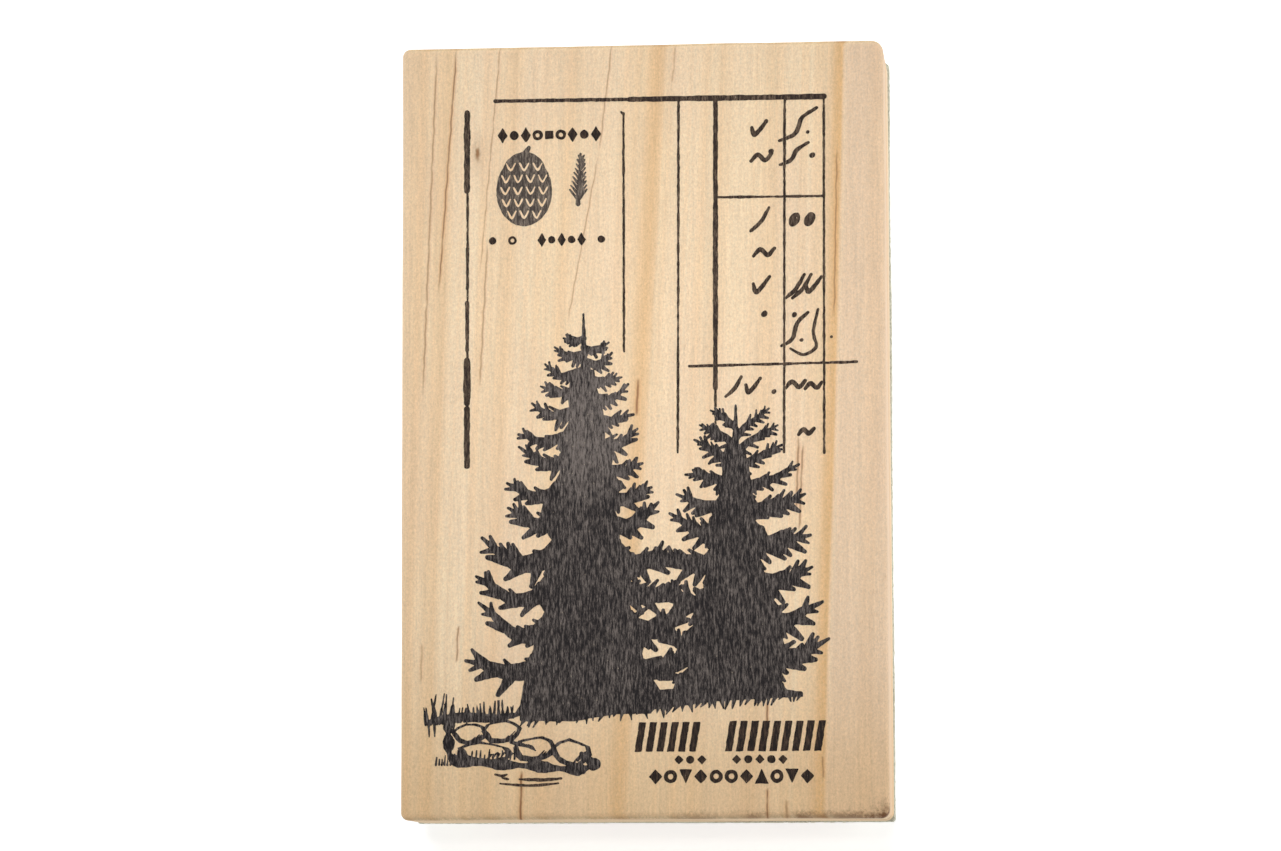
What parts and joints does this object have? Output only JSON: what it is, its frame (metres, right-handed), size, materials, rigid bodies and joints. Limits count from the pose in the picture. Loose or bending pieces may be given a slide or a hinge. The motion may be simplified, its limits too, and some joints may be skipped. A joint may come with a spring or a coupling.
{
  "type": "rubber stamp",
  "caption": "Wood-mounted rubber stamp: a solid pine block with an inked woodland index print on top, over a foam cushion and a moulded rubber relief.",
  "frame": {"origin": "middle of the printing face's plane, below the centre of the block", "axes": "+X across the block's width, +Y along its length towards the top of the picture, +Z from the rubber up to the index print"},
  "size_m": [0.0706, 0.1124, 0.0246],
  "materials": {
    "pine": "bare sanded pine with a visible grain",
    "film": "thin double-sided adhesive film, aged amber at its edge",
    "foam": "pale grey-green fine-celled foam, matte",
    "red_rubber": "moulded vulcanised rubber, matte",
    "ink": "dark brown-black printing ink, soaked into the grain"
  },
  "bodies": {
    "root": {"wood_block": "pine", "block_adhesive": "film", "foam_cushion": "foam", "die_adhesive": "film", "rubber_die": "red_rubber", "print_spruces": "ink", "print_ledger": "ink", "print_left_rule": "ink", "print_centre_rule": "ink", "print_cone": "ink", "print_sprig": "ink"}
  },
  "joints": []
}
